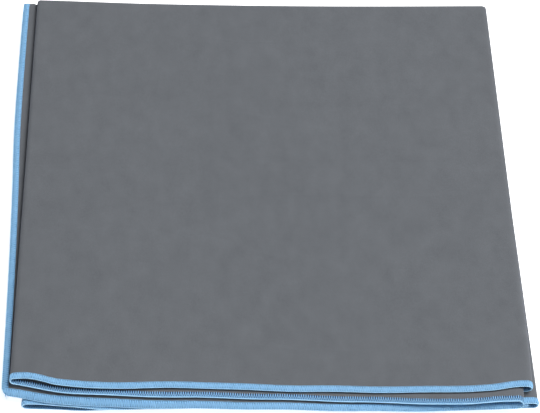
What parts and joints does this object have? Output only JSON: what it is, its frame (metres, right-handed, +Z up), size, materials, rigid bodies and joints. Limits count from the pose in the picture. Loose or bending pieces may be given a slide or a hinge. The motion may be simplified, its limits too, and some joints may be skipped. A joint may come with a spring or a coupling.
{
  "type": "folded towel",
  "caption": "Quick dry microfibre towel with a contrasting overlocked border, folded to a flat square of layers; the upper half opens about the back fold.",
  "frame": {"origin": "middle of the folded towel on the plane it rests on", "axes": "+X along the front edges towards the outer side fold, +Y towards the back fold, +Z up through the layers"},
  "size_m": [0.4142, 0.4096, 0.0191],
  "materials": {
    "cloth": "matte suede microfibre",
    "edging_thread": "soft polyester thread",
    "seam_thread": "soft polyester thread"
  },
  "bodies": {
    "lower_half": {"cloth_back_fold": "cloth", "cloth_lower_half": "cloth", "corner_tail_free_lower": "seam_thread", "corner_tail_hidden_lower": "seam_thread", "free_side_edging_lower": "edging_thread", "free_side_edging_turn": "edging_thread", "free_side_seam_lower": "seam_thread", "free_side_seam_turn": "seam_thread", "front_edging_lower": "edging_thread", "front_seam_lower": "seam_thread", "hidden_side_edging_lower": "edging_thread", "hidden_side_edging_turn": "edging_thread", "hidden_side_seam_lower": "seam_thread", "hidden_side_seam_turn": "seam_thread"},
    "upper_half": {"cloth_upper_half": "cloth", "corner_tail_free_upper": "seam_thread", "corner_tail_hidden_upper": "seam_thread", "free_side_edging_upper": "edging_thread", "free_side_seam_upper": "seam_thread", "front_edging_upper": "edging_thread", "front_seam_upper": "seam_thread", "hidden_side_edging_upper": "edging_thread", "hidden_side_seam_upper": "seam_thread"}
  },
  "joints": [
    {"name": "half_fold_hinge", "type": "hinge", "parent": "lower_half", "child": "upper_half", "pos_m": [0, 0.20483, 0.00915], "axis": [-1, 0, 0], "range_deg": [0, 180], "deforming": ["cloth_back_fold", "free_side_edging_turn", "free_side_seam_turn", "hidden_side_edging_turn", "hidden_side_seam_turn"]}
  ]
}
